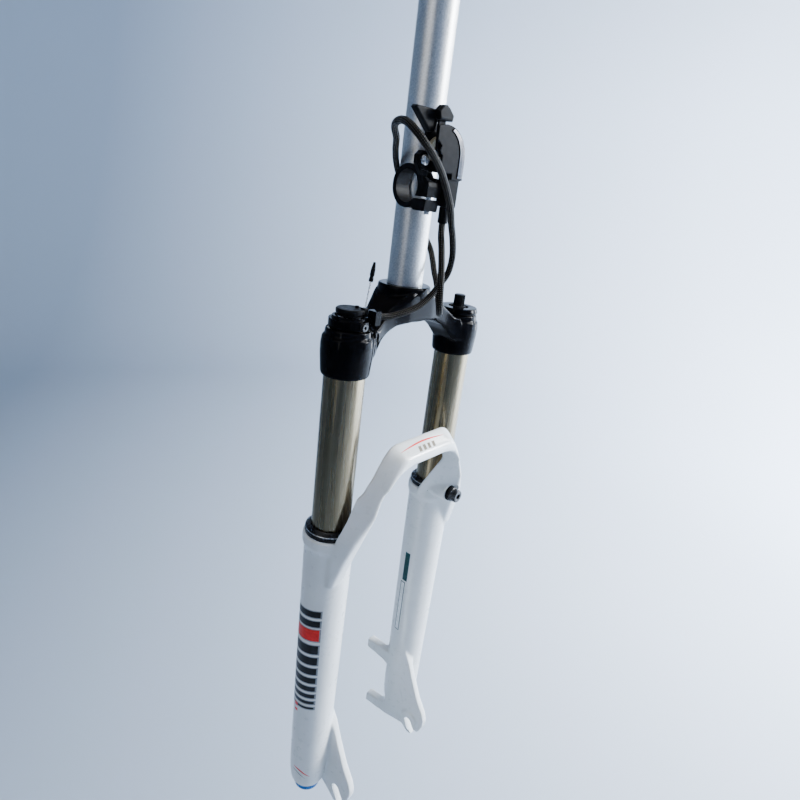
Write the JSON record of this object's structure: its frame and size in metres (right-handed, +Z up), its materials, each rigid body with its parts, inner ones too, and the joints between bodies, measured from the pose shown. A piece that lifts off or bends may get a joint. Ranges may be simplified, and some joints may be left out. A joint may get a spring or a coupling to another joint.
{
  "type": "suspension fork",
  "caption": "Telescopic bicycle suspension fork with a front arch, open dropouts, disc brake tabs and a cable-worked lockout with its bar lever.",
  "frame": {"origin": "steerer axis at the crown race seat", "axes": "+X forward, +Y to the rider's left, +Z up along the steerer"},
  "size_m": [0.0998, 0.1828, 0.7535],
  "materials": {
    "satin_aluminium": "satin",
    "gloss_black_paint": "gloss",
    "bronze_anodised": "polished",
    "gloss_white_paint": "gloss",
    "black_rubber": "satin",
    "black_plastic": "matte",
    "braided_housing": "woven",
    "steel": "brushed",
    "polished_strip": "polished",
    "bearing_polymer": "matte",
    "oil_foam": "open cell",
    "blue_anodised": "satin"
  },
  "bodies": {
    "upper": {"steerer_tube": "satin_aluminium", "crown": "gloss_black_paint", "stanchion_right": "bronze_anodised", "stanchion_left": "bronze_anodised", "air_top_cap": "gloss_black_paint", "air_valve_stem": "steel", "air_seal_head": "steel", "lockout_housing": "gloss_black_paint", "housing_clamp_screw": "steel", "dial_return_spring": "steel", "damper_seal_head": "steel", "compression_tube": "steel", "compression_piston": "bearing_polymer", "cable_stop_ferrule": "black_plastic", "cable_housing": "braided_housing", "bar_clamp": "black_plastic", "bar_clamp_bolt": "steel", "lever_housing": "black_plastic", "lever_cover": "black_plastic", "lever_cover_strip": "polished_strip", "lever_mounting_screw": "steel", "lever_pivot_bolt": "steel"},
    "lowers": {"lower_casting": "gloss_white_paint", "hose_guide_screw": "steel", "hose_guide_washer": "black_plastic", "dust_wiper_right": "black_rubber", "dust_wiper_left": "black_rubber", "foam_ring_right": "oil_foam", "foam_ring_left": "oil_foam", "upper_bushing_right": "bearing_polymer", "upper_bushing_left": "bearing_polymer", "lower_bushing_right": "bearing_polymer", "lower_bushing_left": "bearing_polymer", "bottom_out_bumper_right": "black_rubber", "bottom_out_bumper_left": "black_rubber", "foot_bolt_right": "steel", "foot_bolt_left": "steel", "rebound_shaft": "steel", "rebound_piston": "bearing_polymer", "top_out_bumper": "black_rubber", "air_shaft": "steel", "air_piston": "bearing_polymer", "negative_spring": "steel"},
    "dial": {"lockout_dial": "black_plastic", "dial_stop_pin": "black_plastic", "inner_cable_tail": "steel", "cable_end_cap": "black_plastic", "lockout_control_rod": "steel"},
    "thumb_lever": {"main_lever": "black_plastic", "cable_drum": "bearing_polymer"},
    "release": {"release_lever": "black_plastic"},
    "rebound_adjuster": {"rebound_knob": "blue_anodised"},
    "valve_cap": {"air_valve_cap": "black_plastic"},
    "valve_pin": {"air_valve_pin": "steel"},
    "barrel": {"barrel_adjuster": "black_plastic"}
  },
  "joints": [
    {"name": "fork_travel", "type": "slide", "parent": "upper", "child": "lowers", "axis": [0, 0, 1], "range_m": [0, 0.1], "stiffness_N_per_m": 6000},
    {"name": "thumb_lever_swing", "type": "hinge", "parent": "upper", "child": "thumb_lever", "pos_m": [0.01622, -0.02748, 0.0993], "axis": [0.9921, -0.1253, 0], "range_deg": [0, 28], "stiffness_Nm_per_rad": 0.1},
    {"name": "dial_turn", "type": "hinge", "parent": "upper", "child": "dial", "pos_m": [0.009, -0.069, -0.018], "axis": [0, 0, 1], "range_deg": [0, 24], "stiffness_Nm_per_rad": 0.1},
    {"name": "release_push", "type": "hinge", "parent": "upper", "child": "release", "pos_m": [0.01622, -0.02748, 0.0993], "axis": [0.9921, -0.1253, 0], "range_deg": [-12, 0], "stiffness_Nm_per_rad": 0.1},
    {"name": "rebound_turn", "type": "hinge", "parent": "lowers", "child": "rebound_adjuster", "pos_m": [0.009, -0.069, -0.484], "axis": [0, 0, 1], "range_deg": [-270, 270]},
    {"name": "valve_cap_turn", "type": "hinge", "parent": "upper", "child": "valve_cap", "pos_m": [0.009, 0.069, -0.02], "axis": [0, 0, 1], "continuous": true},
    {"name": "valve_pin_press", "type": "slide", "parent": "upper", "child": "valve_pin", "axis": [0, 0, -1], "range_m": [0, 0.0015], "stiffness_N_per_m": 400},
    {"name": "barrel_turn", "type": "hinge", "parent": "upper", "child": "barrel", "pos_m": [0.03951, -0.01469, 0.06], "axis": [0, 0, 1], "continuous": true}
  ],
  "couplings": [
    {"joint": "dial_turn", "follows": "thumb_lever_swing", "ratio": 0.826}
  ]
}
